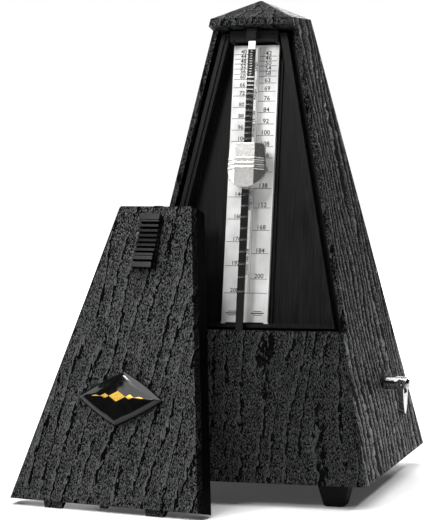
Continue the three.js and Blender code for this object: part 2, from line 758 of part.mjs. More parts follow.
function keyPin() {
  const pin = turned([[0, -5.6], [0.6, -5.6], [0.6, 5.6], [0, 5.6]], 16);
  return pin.rotate([90, 0, 0]).translate([keyPinX(), BARREL.y, BARREL.z]);
}

// Forked thumb piece hanging from the pin; its arms straddle the shaft.
function keyHandle() {
  const leaf = [
    [-4.9, 1.4], [-3.9, 2.3], [3.9, 2.3], [4.9, 1.4], [4.9, -5], [3.6, -10.4],
    [1.6, -13.6], [0, -14.4], [-1.6, -13.6], [-3.6, -10.4], [-4.9, -5],
  ];
  const blade = slabX(leaf, -1.25, 1.25);
  const mouth = box(-3, 3, -SHAFT_RADIUS - GAP, SHAFT_RADIUS + GAP, -SHAFT_RADIUS - 1.6, 5);
  const eye = turned([[0, -7], [0.95, -7], [0.95, 7], [0, 7]], 16).rotate([90, 0, 0]);
  const bosses = [-1, 1].map((side) => {
    const boss = turned([[0, -0.8], [2.3, -0.8], [2.3, 0.8], [0, 0.8]], 24).rotate([90, 0, 0]);
    return boss.translate([0, side * 4.1, 0]);
  });
  const whole = joinAll([blade.subtract(mouth), ...bosses]).subtract(eye);
  return whole.translate([keyPinX(), BARREL.y, BARREL.z]);
}

// ================= Cover =================

// Cover space: across, height above the tabs' ends, out of the face.
const coverFace = new THREE.Vector3(0, -1, 0);
const coverYaw = THREE.MathUtils.degToRad(COVER_YAW_DEG);
const coverLean = THREE.MathUtils.degToRad(COVER_LEAN_DEG);
const coverAcross = new THREE.Vector3(Math.cos(coverYaw), Math.sin(coverYaw), 0);
coverFace.applyAxisAngle(new THREE.Vector3(0, 0, 1), coverYaw);
coverFace.applyAxisAngle(coverAcross, -coverLean);
const coverUp = new THREE.Vector3().crossVectors(coverFace, coverAcross);
const COVER = frame(
  coverAcross, coverUp, coverFace,
  new THREE.Vector3(COVER_STAND.x, COVER_STAND.y, TAB_NEAR * Math.sin(coverLean)),
);

// Outline of the closed cover at one depth, shifted into cover space.
function coverOutline(inset, depth, trim) {
  const shift = TAB_HEIGHT - COVER_BOTTOM_UP;
  return taperOutline(inset, COVER_BOTTOM_UP + trim, COVER_TOP_UP - trim, depth)
    .map(([across, up]) => [across, up + shift]);
}

function coverShell() {
  const ring = (inset, trim, depth) => {
    return coverOutline(inset, depth, trim).map(([a, b]) => [a, b, -depth]);
  };
  const chamfer = CORNER_CHAMFER;
  const outer = loft([
    ring(0, 0, COVER_RETURN), ring(0, 0, chamfer), ring(chamfer, 0, 0),
  ]);
  const skin = COVER_SKIN;
  const hollow = loft([ring(skin, skin, COVER_RETURN + 2), ring(skin, skin, skin)]);
  const bottomUp = TAB_HEIGHT;
  const topUp = TAB_HEIGHT + COVER_TOP_UP - COVER_BOTTOM_UP;
  const rimDepth = 5;
  const trimmedEnds = [
    prism(rectangle(-44, 44, bottomUp - 1, bottomUp + 2.2), -15, -rimDepth),
    prism(rectangle(-17, 17, topUp - 2.2, topUp + 1), -15, -rimDepth),
    prism(rectangle(-3.7, 3.7, topUp - 2.5, topUp + 1), -rimDepth - 1, -skin - 0.05),
    prism(rectangle(-9.4, 9.4, bottomUp - 1, bottomUp + 2.2), -rimDepth - 1, -BUMP_FAR),
  ];
  let body = outer.subtract(hollow);
  for (const cut of trimmedEnds) body = body.subtract(cut);
  const underside = [[bottomUp - 5, 0], [bottomUp, 0], [bottomUp + 1.7, -10], [bottomUp - 5, -10]];
  body = body.subtract(slabX(underside.reverse(), -60, 60));
  const heel = (TAB_FAR - TAB_NEAR) * Math.tan(coverLean);
  const tabSide = [[0, -TAB_NEAR], [heel, -TAB_FAR], [3.6, -TAB_FAR], [3.6, -TAB_NEAR]];
  for (const side of [-1, 1]) {
    const tab = [[-5.7, 3.6], [-4.1, -1], [3.6, -1], [5.2, 3.6]]
      .map(([a, b]) => [side * (TAB_ACROSS + a), b]);
    const solid = prism(side > 0 ? tab : tab.reverse(), -TAB_FAR - 1, 0);
    body = body.add(solid.intersect(slabX(tabSide.slice().reverse(), -40, 40)));
  }
  body = body.add(prism([[-2.2, 3.2], [-1.6, 1.9], [1.6, 1.9], [2.2, 3.2]], -BUMP_FAR, -BUMP_NEAR));
  body = body.add(prism(rectangle(-3.2, 3.2, SPRING_FOOT_UP - 2, SPRING_FOOT_UP - 0.4), -BOLT_FAR, -1));
  return body.subtract(prism(rectangle(-2.3, 2.3, LATCH_UP - 8.7, LATCH_UP + 2), -3, 1));
}

// Thumb slide: two end bars and a row of ribs on a bowed plate.
function latchSlider() {
  const half = LATCH_LENGTH / 2;
  const low = LATCH_UP - half;
  const high = LATCH_UP + half;
  const plate = prism([[-6, low], [6, low], [5, high], [-5, high]], GAP, 1.6);
  const bars = [[low, low + 2.4], [low + 3.6, low + 5.2], [high - 2.8, high]];
  const solids = [plate];
  for (const [from, to] of bars) {
    solids.push(prism([[-5.1, from], [5.1, from], [5, to], [-5, to]], 1, 4.2));
  }
  const ribs = 8;
  const run = LATCH_LENGTH - 9.4;
  for (let i = 0; i < ribs; i += 1) {
    const up = low + 6.2 + (run * i) / (ribs - 1);
    const height = 4 - 1.1 * Math.sin((Math.PI * (i + 0.5)) / ribs);
    solids.push(prism([[-4.9, up - 0.55], [4.9, up - 0.55], [4.9, up + 0.55], [-4.9, up + 0.55]], 1, height));
  }
  solids.push(prism(rectangle(-1.9, 1.9, LATCH_UP - 4, LATCH_UP - 1), GAP - BOLT_NEAR, 1));
  return joinAll(solids);
}

function rectangle(a0, a1, b0, b1) {
  return [[a0, b0], [a1, b0], [a1, b1], [a0, b1]];
}

// Flat bar behind the cover whose nose enters the pocket in the head.
function latchBolt() {
  const tip = BOLT_TIP_UP;
  const outline = [
    [-3.3, LATCH_UP - 6], [3.3, LATCH_UP - 6], [3.3, tip - 1.5], [2.3, tip], [-2.3, tip], [-3.3, tip - 1.5],
  ];
  return prism(outline, -BOLT_FAR, -BOLT_NEAR);
}

// U-shaped strap that keeps the bolt against the cover.
function latchGuide() {
  const strap = prism(rectangle(-6, 6, 128, 133), -BOLT_FAR - 1.7, -COVER_SKIN - GAP);
  const tunnel = prism(rectangle(-3.7, 3.7, 127, 134), -BOLT_FAR - GAP, -COVER_SKIN + 1);
  return strap.subtract(tunnel);
}

// Zigzag wire that pushes the bolt up.
function latchSpring() {
  const rise = 1.6;
  const legs = [];
  for (let i = 0; i < 6; i += 1) {
    const side = i % 2 ? 1 : -1;
    const low = SPRING_FOOT_UP + rise * i;
    const ends = [[-side * 2.4, low], [side * 2.4, low + rise]];
    const shape = [
      [ends[0][0], ends[0][1] - 0.3], [ends[1][0], ends[1][1] - 0.3],
      [ends[1][0], ends[1][1] + 0.3], [ends[0][0], ends[0][1] + 0.3],
    ];
    legs.push(prism(side > 0 ? shape : shape.reverse(), -3.4, -2.6));
  }
  return joinAll(legs);
}

// Low four-sided dome in the shape of a wide diamond.
function coverBadge() {
  const ring = (scale, out) => {
    const points = [];
    const wide = BADGE_HALF_WIDTH;
    const tall = BADGE_HALF_HEIGHT;
    const corners = [[wide, 0], [0, tall], [-wide, 0], [0, -tall]];
    corners.forEach(([a, b], i) => {
      const [c, d] = corners[(i + 1) % 4];
      for (let step = 0; step < 5; step += 1) {
        const t = step / 5;
        const bow = 1 + 0.06 * Math.sin(Math.PI * t);
        const grow = scale * bow;
        points.push([grow * (a + (c - a) * t), grow * (b + (d - b) * t) + BADGE_UP, out]);
      }
    });
    return points;
  };
  const levels = [[1, GAP], [1, 1.4], [0.94, 2.3], [0.82, 3.1], [0.6, 3.8], [0.3, 4.2]];
  return loft(levels.map(([scale, out]) => ring(scale, out)));
}

// ================= Assembly =================

const MATERIALS = {
  grained: { color: 0x17181a, roughness: 0.5, metalness: 0 },
  smooth: { color: 0x0e0f11, roughness: 0.35, metalness: 0 },
  rubber: { color: 0x101011, roughness: 0.85, metalness: 0 },
  silver: { color: 0xc9cbcb, roughness: 0.4, metalness: 0.8 },
  steel: { color: 0x8d9094, roughness: 0.35, metalness: 1 },
  plated: { color: 0xc4c6c8, roughness: 0.2, metalness: 1 },
  brass: { color: 0xb8924a, roughness: 0.35, metalness: 1 },
  spring: { color: 0x4b5868, roughness: 0.4, metalness: 1 },
  gloss: { color: 0x050506, roughness: 0.08, metalness: 0 },
};

const metronome = new THREE.Group();
metronome.name = 'metronome';
const frontGroup = new THREE.Group();
frontGroup.applyMatrix4(FRONT);
const coverGroup = new THREE.Group();
coverGroup.applyMatrix4(COVER);
metronome.add(frontGroup, coverGroup);

function add(group, name, solid, look) {
  const mesh = new THREE.Mesh(toGeometry(solid), new THREE.MeshStandardMaterial(MATERIALS[look]));
  mesh.name = name;
  group.add(mesh);
}

add(metronome, 'case_shell', caseShell(), 'grained');
add(metronome, 'bottom_plate', bottomPlate(), 'smooth');
for (const [name, x, y] of FOOT_SPOTS) add(metronome, `foot_${name}`, foot(x, y), 'rubber');
SCREW_SPOTS.forEach(([x, y], i) => {
  add(metronome, `bottom_screw_${i + 1}`, bottomScrew(x, y), 'steel');
});
add(metronome, 'movement_plate_left', movementPlate(PLATE_LEFT), 'brass');
add(metronome, 'movement_plate_right', movementPlate(PLATE_RIGHT, [[CLICK_PIVOT, 1.3]]), 'brass');
PILLAR_SPOTS.forEach((spot, i) => {
  add(metronome, `movement_pillar_${i + 1}`, pillar(spot), 'steel');
});
add(metronome, 'great_wheel', greatWheel(), 'brass');
add(metronome, 'barrel', barrel(), 'brass');
add(metronome, 'barrel_lid', barrelLid(), 'brass');
add(metronome, 'mainspring', mainspring(), 'spring');
add(metronome, 'second_arbor', secondArbor(), 'steel');
add(metronome, 'second_wheel', secondWheel(), 'brass');
add(metronome, 'escape_arbor', escapeArbor(), 'steel');
add(metronome, 'escape_wheel', escapeWheel(), 'brass');
add(metronome, 'winding_arbor', windingArbor(), 'plated');
add(metronome, 'ratchet_wheel', ratchetWheel(), 'steel');
add(metronome, 'click', click(), 'steel');
add(metronome, 'click_screw', clickScrew(), 'steel');
add(metronome, 'click_spring', clickSpring(), 'spring');
add(metronome, 'key_bushing', keyBushing(), 'smooth');
add(metronome, 'key_pin', keyPin(), 'plated');
add(metronome, 'key_handle', keyHandle(), 'plated');

add(frontGroup, 'front_panel', frontPanel(), 'smooth');
add(frontGroup, 'scale_backing', scaleBacking(), 'smooth');
add(frontGroup, 'scale_plate', scalePlate(), 'silver');
add(frontGroup, 'pendulum_catch', pendulumCatch(), 'smooth');
add(frontGroup, 'front_bridge', frontBridge(), 'brass');
add(frontGroup, 'rear_cock', rearCock(), 'brass');
add(frontGroup, 'pendulum_arbor', pendulumArbor(), 'steel');
add(frontGroup, 'pendulum_hub', pendulumHub(), 'brass');
add(frontGroup, 'pallet_entry', pallet(28.2, 32), 'steel');
add(frontGroup, 'pallet_exit', pallet(36.6, -32), 'steel');
add(frontGroup, 'pendulum_rod', pendulumRod(), 'steel');
add(frontGroup, 'counterweight', counterweight(), 'brass');
add(frontGroup, 'slide_weight', slideWeight(), 'plated');
add(frontGroup, 'weight_spring', weightSpring(), 'spring');

add(coverGroup, 'cover_shell', coverShell(), 'grained');
add(coverGroup, 'cover_badge', coverBadge(), 'gloss');
add(coverGroup, 'latch_slider', latchSlider(), 'smooth');
add(coverGroup, 'latch_bolt', latchBolt(), 'smooth');
add(coverGroup, 'latch_guide', latchGuide(), 'smooth');
add(coverGroup, 'latch_spring', latchSpring(), 'spring');

// Centre the whole over the origin, standing on z = 0.
metronome.updateMatrixWorld(true);
const bounds = new THREE.Box3().setFromObject(metronome, true);
const middle = bounds.getCenter(new THREE.Vector3());
metronome.position.set(-middle.x, -middle.y, -bounds.min.z);

export default metronome;
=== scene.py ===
# %% [markdown]
# # A wind-up pyramid metronome
# This lesson dresses a finished mechanical model. The model already holds every piece at its real
# size and place, and it must not be moved or reshaped. Blender adds what the eye expects of the real
# thing: rounded edges, embossed grain, printed figures, and metal, plastic and rubber that look right.
# All lengths are in metres, because the frame is in metres.

# %% Load the fixed frame
import json
import math

import bpy
from mathutils import Matrix, Vector


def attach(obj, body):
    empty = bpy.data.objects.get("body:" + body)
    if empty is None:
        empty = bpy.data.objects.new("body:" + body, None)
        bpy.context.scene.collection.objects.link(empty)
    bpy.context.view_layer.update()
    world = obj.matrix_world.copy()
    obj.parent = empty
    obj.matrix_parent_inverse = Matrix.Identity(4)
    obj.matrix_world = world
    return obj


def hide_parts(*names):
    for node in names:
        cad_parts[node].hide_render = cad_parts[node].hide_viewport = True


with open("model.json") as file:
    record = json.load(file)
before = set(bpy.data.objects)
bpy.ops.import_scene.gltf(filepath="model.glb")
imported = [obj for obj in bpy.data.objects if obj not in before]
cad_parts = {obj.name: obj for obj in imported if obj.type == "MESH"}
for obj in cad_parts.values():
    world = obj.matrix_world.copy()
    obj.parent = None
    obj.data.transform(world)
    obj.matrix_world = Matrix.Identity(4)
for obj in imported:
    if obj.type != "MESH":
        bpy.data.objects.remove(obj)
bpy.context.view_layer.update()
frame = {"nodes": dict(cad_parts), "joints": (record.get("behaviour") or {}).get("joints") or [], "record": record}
MM = 0.001

# %% [markdown]
# ## Where things are
# The front of the case leans back, and the loose cover leans the other way, so two leaning frames are
# needed. Both can be read from the joints. The pendulum turns about the line straight out of the front
# face, and the weight slides up the slope. The cover's latch slides up the cover. How far the pivot
# stands up the slope and behind the face are two dimensions of the model, given again here.

# %% Leaning frames taken from the joints
joints = {joint["name"]: joint for joint in frame["joints"]}
PIVOT_UP = 60 * MM
PIVOT_DEPTH = 6.3 * MM


def leaning_frame(across, up, out, origin):
    """A matrix whose axes are across, up the slope and out of the face."""
    turn = Matrix((across, up, out)).transposed().to_4x4()
    return Matrix.Translation(origin) @ turn


def pattern_turn(face):
    """The turn that lays a pattern's X across a leaning face and its Z up the slope."""
    return tuple((face.to_3x3() @ Matrix.Rotation(math.radians(-90), 3, "X")).to_euler())


def reach(node, direction):
    """How far a node reaches along a direction: its lowest and highest distance."""
    spread = [vertex.co.dot(direction) for vertex in frame["nodes"][node].data.vertices]
    return min(spread), max(spread)


front_out = Vector(joints["pendulum_swing"]["axis"]).normalized()
front_up = Vector(joints["weight_slide"]["axis"]).normalized()
front_across = Vector((1, 0, 0))
pivot = Vector(joints["pendulum_swing"]["pos_m"])
front_foot = pivot - front_up * PIVOT_UP + front_out * PIVOT_DEPTH
FRONT = leaning_frame(front_across, front_up, front_out, front_foot)
FRONT_TURN = pattern_turn(FRONT)

cover_up = Vector(joints["latch_slide"]["axis"]).normalized()
cover_across = Vector((cover_up.y, -cover_up.x, 0)).normalized()
cover_out = cover_across.cross(cover_up)
badge_middle = cover_across * (sum(reach("cover_badge", cover_across)) / 2)
badge_middle += cover_up * (sum(reach("cover_badge", cover_up)) / 2)
badge_middle += cover_out * reach("cover_badge", cover_out)[0]
COVER = leaning_frame(cover_across, cover_up, cover_out, badge_middle)
COVER_TURN = pattern_turn(COVER)
print("front lean:", round(math.degrees(front_up.angle(Vector((0, 0, 1)))), 2))
print("cover lean:", round(math.degrees(cover_up.angle(Vector((0, 0, 1)))), 2))

# %% [markdown]
# ## Camera
# A long lens from about a metre away keeps the upright edges nearly straight. The camera stands to the
# right of the front, a little above the middle, and is rolled by less than a degree.

# %% Place the camera
LENS = 140.19
SENSOR_WIDTH = 36
CAMERA_AZIMUTH = math.radians(17.39)
CAMERA_ELEVATION = math.radians(4.07)
CAMERA_ROLL = math.radians(-0.81)
CAMERA_DISTANCE = 0.9607
CAMERA_AIM = Vector((-10.4 * MM, 18.25 * MM, 104.67 * MM))
back = Vector((
    math.sin(CAMERA_AZIMUTH) * math.cos(CAMERA_ELEVATION),
    -math.cos(CAMERA_AZIMUTH) * math.cos(CAMERA_ELEVATION),
    math.sin(CAMERA_ELEVATION),
))
camera_data = bpy.data.cameras.new("studio_camera")
camera_data.lens = LENS
camera_data.sensor_width = SENSOR_WIDTH
camera = bpy.data.objects.new("studio_camera", camera_data)
bpy.context.scene.collection.objects.link(camera)
roll = Matrix.Rotation(CAMERA_ROLL, 4, "Z")
camera.matrix_world = Matrix.Translation(CAMERA_AIM + back * CAMERA_DISTANCE) @ (
    back.to_track_quat("Z", "Y").to_matrix().to_4x4() @ roll
)
bpy.context.scene.camera = camera
print("camera at", tuple(round(value, 4) for value in camera.matrix_world.translation))

# %% [markdown]
# ## Light and floor
# Black plastic shows only what it reflects. Large dim cards stand where a face mirrors them, and give it
# an even sheen. Small bright sparks stand to the sides, and catch ridges, rounded edges and metal. A
# wide box overhead lights the floor. The room and the far floor look white to the camera alone, as a
# lit paper backdrop does, so that they don't turn the black plastic grey.

# %% Room, floor and soft boxes
ROOM_LIGHT = 0.04
LIGHT_TARGET = Vector((0, 0, 0.11))
FLOOR_SIZE = 8
WHITE = (1, 1, 1, 1)
world = bpy.data.worlds.new("pale_room")
bpy.context.scene.world = world
world.use_nodes = True
room = world.node_tree
room_light = room.nodes["Background"]
room_light.inputs["Color"].default_value = WHITE
room_light.inputs["Strength"].default_value = ROOM_LIGHT
backdrop = room.nodes.new("ShaderNodeBackground")
backdrop.inputs["Color"].default_value = WHITE
rays = room.nodes.new("ShaderNodeLightPath")
mixer = room.nodes.new("ShaderNodeMixShader")
room.links.new(rays.outputs["Is Camera Ray"], mixer.inputs["Fac"])
room.links.new(room_light.outputs["Background"], mixer.inputs[1])
room.links.new(backdrop.outputs["Background"], mixer.inputs[2])
room.links.new(mixer.outputs["Shader"], room.nodes["World Output"].inputs["Surface"])
bpy.context.scene.view_settings.view_transform = "Standard"


def soft_box(name, azimuth, elevation, distance, width, height, brightness):
    """A rectangular light at angles about the object; azimuth 0 is in front, 90 to the right."""
    turn, rise = math.radians(azimuth), math.radians(elevation)
    way = Vector((math.sin(turn) * math.cos(rise), -math.cos(turn) * math.cos(rise), math.sin(rise)))
    data = bpy.data.lights.new(name, "AREA")
    data.shape = "RECTANGLE"
    data.size = width
    data.size_y = height
    data.energy = brightness * width * height * math.pi
    light = bpy.data.objects.new(name, data)
    bpy.context.scene.collection.objects.link(light)
    light.location = LIGHT_TARGET + way * distance
    light.rotation_euler = way.to_track_quat("Z", "Y").to_euler()
    return light


# Name, azimuth and elevation in degrees, distance, width and height in metres, brightness.
SOFT_BOXES = [
    ("key_card", -30, 42.5, 1.25, 0.62, 0.65, 3.3),
    ("spark_left", -62, 58, 1.2, 0.14, 0.14, 60),
    ("scale_spark", -20, 42, 1.2, 0.22, 0.22, 16),
    ("left_card", -86, 18, 0.95, 0.55, 0.7, 2.2),
    ("right_spark", 144, 34, 1.1, 0.14, 0.14, 110),
    ("wall_sheen", 160, 20, 1.3, 0.5, 0.6, 0.12),
    ("roof_card", -168, 15, 1.25, 0.5, 0.3, 7.0),
    ("top_box", 0, 90, 1.2, 1.3, 1.3, 3.9),
]
for box_settings in SOFT_BOXES:
    soft_box(*box_settings)
print("soft boxes:", len(SOFT_BOXES))

bpy.ops.object.select_all(action="DESELECT")
bpy.ops.mesh.primitive_plane_add(size=FLOOR_SIZE)
floor = bpy.context.object
floor.name = "studio_floor"

# %% [markdown]
# ## Finishes
# Every finish is a small tree of nodes on object coordinates, so a pattern keeps its real size and
# stays put on its piece. A few helpers keep the trees short to write.

# %% Helpers for node trees


def new_finish(name, colour, roughness, metallic=0.0):
    """A new material with its tree and its shader."""
    material = bpy.data.materials.new(name)
    material.use_nodes = True
    tree = material.node_tree
    shader = tree.nodes["Principled BSDF"]
    shader.inputs["Base Color"].default_value = (*colour, 1)
    shader.inputs["Roughness"].default_value = roughness
    shader.inputs["Metallic"].default_value = metallic
    return material, tree, shader


def feed(tree, socket, value):
    """Links a socket, or sets its number."""
    if isinstance(value, bpy.types.NodeSocket):
        tree.links.new(value, socket)
    else:
        socket.default_value = value


def sized(tree, size, origin=(0, 0, 0), turn=(0, 0, 0)):
    """Object coordinates counted in steps of a size, from an origin and along turned axes."""
    source = tree.nodes.new("ShaderNodeTexCoord")
    mapping = tree.nodes.new("ShaderNodeMapping")
    mapping.vector_type = "TEXTURE"
    mapping.inputs["Location"].default_value = origin
    mapping.inputs["Rotation"].default_value = turn
    mapping.inputs["Scale"].default_value = size
    tree.links.new(source.outputs["Object"], mapping.inputs["Vector"])
    return mapping.outputs["Vector"]


def noise(tree, vector, detail=2.0, roughness=0.5, distortion=0.0):
    """Smooth noise, about 0.2 to 0.8."""
    node = tree.nodes.new("ShaderNodeTexNoise")
    node.inputs["Scale"].default_value = 1
    node.inputs["Detail"].default_value = detail
    node.inputs["Roughness"].default_value = roughness
    node.inputs["Distortion"].default_value = distortion
    tree.links.new(vector, node.inputs["Vector"])
    return node.outputs["Fac"]


def calc(tree, operation, first, second=0.0):
    """One arithmetic step."""
    node = tree.nodes.new("ShaderNodeMath")
    node.operation = operation
    feed(tree, node.inputs[0], first)
    feed(tree, node.inputs[1], second)
    return node.outputs[0]


def ramp(tree, value, low, high, out_low=0.0, out_high=1.0):
    """Soft step from out_low at low to out_high at high."""
    node = tree.nodes.new("ShaderNodeMapRange")
    node.interpolation_type = "SMOOTHSTEP"
    feed(tree, node.inputs["Value"], value)
    node.inputs["From Min"].default_value = low
    node.inputs["From Max"].default_value = high
    node.inputs["To Min"].default_value = out_low
    node.inputs["To Max"].default_value = out_high
    return node.outputs["Result"]


def blend_colour(tree, factor, low, high):
    """Colour between two others by a factor."""
    node = tree.nodes.new("ShaderNodeMix")
    node.data_type = "RGBA"
    feed(tree, node.inputs["Factor"], factor)
    colours = [socket for socket in node.inputs if socket.type == "RGBA"]
    colours[0].default_value = (*low, 1)
    colours[1].default_value = (*high, 1)
    result = [socket for socket in node.outputs if socket.type == "RGBA"]
    return result[0]


def emboss(tree, shader, height, depth, strength=1.0):
    """Feeds a height pattern to the shader as relief of a given depth."""
    node = tree.nodes.new("ShaderNodeBump")
    node.inputs["Strength"].default_value = strength
    node.inputs["Distance"].default_value = depth
    feed(tree, node.inputs["Height"], height)
    tree.links.new(node.outputs["Normal"], shader.inputs["Normal"])


def along(tree, output, direction):
    """How much of a coordinate output lies along a direction."""
    source = tree.nodes.new("ShaderNodeTexCoord")
    dot = tree.nodes.new("ShaderNodeVectorMath")
    dot.operation = "DOT_PRODUCT"
    dot.inputs[1].default_value = direction
    tree.links.new(source.outputs[output], dot.inputs[0])
    return dot.outputs["Value"]


def facing(tree, direction):
    """How squarely the surface faces a direction, from -1 to 1."""
    return along(tree, "Normal", direction)


def mixed(tree, factor, low, high):
    """Number between two others by a factor."""
    return calc(tree, "ADD", low, calc(tree, "MULTIPLY", factor, calc(tree, "SUBTRACT", high, low)))


def shine(material):
    """The socket that says how strongly a material reflects."""
    return material.node_tree.nodes["Principled BSDF"].inputs["Specular IOR Level"]


# %% [markdown]
# ### Grained plastic
# The case and the cover are moulded in black plastic with an embossed oak grain. Growth lines run up
# each face at a steady spacing, sway with a slow noise, and are made ragged by a quick one. Each line is
# a ridge that drops into a crack, and a patchy noise breaks it up. Between the lines lie short pebbles.
# The hollows and cracks are painted darker and made duller, as painted shade, and the ridges are painted
# lighter and given more shine, as painted highlight. The side walls of the case
# have closer rings than its front, and the cover's narrow returns are left smooth.

# %% Grained black plastic
PEBBLE = (0.32 * MM, 0.95 * MM, 0.85 * MM)
PATCH = (5 * MM, 5 * MM, 19 * MM)
SWAY = (22 * MM, 22 * MM, 75 * MM)
FRAY = (1.5 * MM, 3.5 * MM, 4 * MM)
# Spacing of the rings, then how far they sway and fray, counted in rings.
FRONT_RINGS = (8 * MM, 2.6, 0.75)
SIDE_RINGS = (6.5 * MM, 3.6, 0.9)
GRAIN_DEPTH = 0.4 * MM
CRACK_FILL = 0.12
# Painted shade in the hollows and cracks, and painted highlight on the ridges.
SHADED_HOLLOW_BLACK = (0.001, 0.001, 0.0011)
HIGHLIT_RIDGE_BLACK = (0.086, 0.088, 0.091)


def face_across(tree, origin, turn, tilt):
    """Distance across a face, on lines that lean by tilt, and whether the face is a side wall."""
    split = tree.nodes.new("ShaderNodeSeparateXYZ")
    tree.links.new(sized(tree, (1, 1, 1), origin, turn), split.inputs["Vector"])
    x, y, z = split.outputs
    on_side = ramp(tree, calc(tree, "ABSOLUTE", facing(tree, (1, 0, 0))), 0.6, 0.8)
    across = calc(tree, "ADD", x, calc(tree, "MULTIPLY", on_side, calc(tree, "SUBTRACT", y, x)))
    return calc(tree, "SUBTRACT", across, calc(tree, "MULTIPLY", z, tilt)), on_side


def growth_lines(tree, across, origin, turn, rings):
    """Place within a growth ring, from 0 at its crack to 1 at its ridge."""
    spacing, sway, ragged = rings
    slow = noise(tree, sized(tree, SWAY, origin, turn), 1.0)
    quick = noise(tree, sized(tree, FRAY, origin, turn), 2.0)
    growth = calc(tree, "DIVIDE", across, spacing)
    growth = calc(tree, "ADD", growth, calc(tree, "MULTIPLY", slow, sway))
    growth = calc(tree, "ADD", growth, calc(tree, "MULTIPLY", quick, ragged))
    return calc(tree, "FRACT", growth)


def grained_black(name, origin, turn, tilt, shine_and_highlight, smooth_sides=None):
    """Embossed oak grain. With smooth_sides, only faces that look that way are grained."""
    material, tree, shader = new_finish(name, (0.02, 0.02, 0.021), 0.36)
    across, on_side = face_across(tree, origin, turn, tilt)
    pebbles = noise(tree, sized(tree, PEBBLE, origin, turn), 1.0, 0.6, 0.3)
    grit = ramp(tree, pebbles, 0.42, 0.62, 0.12, 1.05)
    patchy = noise(tree, sized(tree, PATCH, origin, turn), 1.0)
    broken = ramp(tree, patchy, 0.40, 0.45)
    wide = growth_lines(tree, across, origin, turn, FRONT_RINGS)
    crack = calc(tree, "MULTIPLY", broken, ramp(tree, wide, 0.14, 0.18, 1.0, 0.0))
    ridge = calc(tree, "MULTIPLY", broken, ramp(tree, wide, 0.7, 0.98, 0.0, 0.45))
    if smooth_sides is None:
        close = growth_lines(tree, across, origin, turn, SIDE_RINGS)
        side_crack = ramp(tree, close, 0.26, 0.5, 1.0, 0.0)
        side_ridge = ramp(tree, close, 0.66, 0.95, -0.2, 1.15)
        crack = mixed(tree, on_side, calc(tree, "MULTIPLY", crack, 0.8), side_crack)
        ridge = mixed(tree, on_side, ridge, side_ridge)
    relief = calc(tree, "ADD", grit, ridge)
    relief = mixed(tree, crack, relief, calc(tree, "MULTIPLY", relief, CRACK_FILL))
    if smooth_sides is not None:
        relief = calc(tree, "MULTIPLY", relief, ramp(tree, facing(tree, smooth_sides), 0.6, 0.9))
    emboss(tree, shader, relief, GRAIN_DEPTH)
    # The colour is painted dark in the hollows and cracks, as painted shade, and lighter on the ridges, as painted
    # highlight; the shine drops in the hollows too.
    ridge_highlight = tuple(part * shine_and_highlight for part in HIGHLIT_RIDGE_BLACK)
    shade = blend_colour(tree, ramp(tree, relief, 0.15, 1.35), SHADED_HOLLOW_BLACK, ridge_highlight)
    tree.links.new(shade, shader.inputs["Base Color"])
    tree.links.new(ramp(tree, relief, 0.0, 0.8, 0.6, 0.3), shader.inputs["Roughness"])
    tree.links.new(ramp(tree, relief, 0.1, 1.1, 0.02, 0.52 * shine_and_highlight), shine(material))
    return material


CASE_GRAIN = grained_black("case_grain", tuple(front_foot), (0, 0, 0), 0.04, 0.8)
COVER_GRAIN = grained_black(
    "cover_grain", tuple(badge_middle), COVER_TURN, 0.12, 1.0, tuple(cover_out)
)
print("grained finishes:", CASE_GRAIN.name, COVER_GRAIN.name)

# %% [markdown]
# ### Smooth plastic, rubber and resin
# The inner frame is smooth moulding with faint drawn streaks up the slope. The latch is glossier, the
# feet are dull rubber, and the badge is a poured dome of black resin.

# %% Smooth black finishes
STREAK = (0.5 * MM, 0.5 * MM, 22 * MM)
STIPPLE = (0.25 * MM, 0.25 * MM, 0.25 * MM)


def streaked_black(name, roughness, tone):
    """Smooth moulding with faint streaks up the slope."""
    material, tree, shader = new_finish(name, (tone, tone, tone), roughness)
    shine(material).default_value = 0.16
    streaks = noise(tree, sized(tree, STREAK, turn=FRONT_TURN), 3.0)
    stipple = noise(tree, sized(tree, STIPPLE), 1.0)
    tree.links.new(
        blend_colour(tree, ramp(tree, streaks, 0.3, 0.7), (tone * 0.7,) * 3, (tone * 1.5,) * 3),
        shader.inputs["Base Color"],
    )
    tree.links.new(
        ramp(tree, streaks, 0.3, 0.7, roughness - 0.07, roughness + 0.1), shader.inputs["Roughness"]
    )
    emboss(tree, shader, stipple, 0.03 * MM, 0.5)
    return material


def speckled_black(name, roughness, tone, grain, depth):
    """Black with a fine even stipple."""
    material, tree, shader = new_finish(name, (tone, tone, tone), roughness)
    stipple = noise(tree, sized(tree, (grain, grain, grain)), 2.0)
    tree.links.new(
        blend_colour(tree, ramp(tree, stipple, 0.3, 0.7), (tone * 0.6,) * 3, (tone * 1.6,) * 3),
        shader.inputs["Base Color"],
    )
    tree.links.new(
        ramp(tree, stipple, 0.3, 0.7, roughness + 0.05, roughness - 0.05), shader.inputs["Roughness"]
    )
    emboss(tree, shader, stipple, depth, 0.6)
    return material


PANEL_BLACK = streaked_black("panel_black", 0.36, 0.006)
LATCH_BLACK = speckled_black("latch_black", 0.14, 0.004, 0.6 * MM, 0.01 * MM)
RUBBER = speckled_black("foot_rubber", 0.75, 0.0025, 0.35 * MM, 0.05 * MM)
RESIN = speckled_black("badge_resin", 0.07, 0.003, 3 * MM, 0.002 * MM)
INNER_BLACK = speckled_black("inner_black", 0.5, 0.012, 0.5 * MM, 0.03 * MM)
print("smooth finishes:", PANEL_BLACK.name, LATCH_BLACK.name, RUBBER.name, RESIN.name, INNER_BLACK.name)
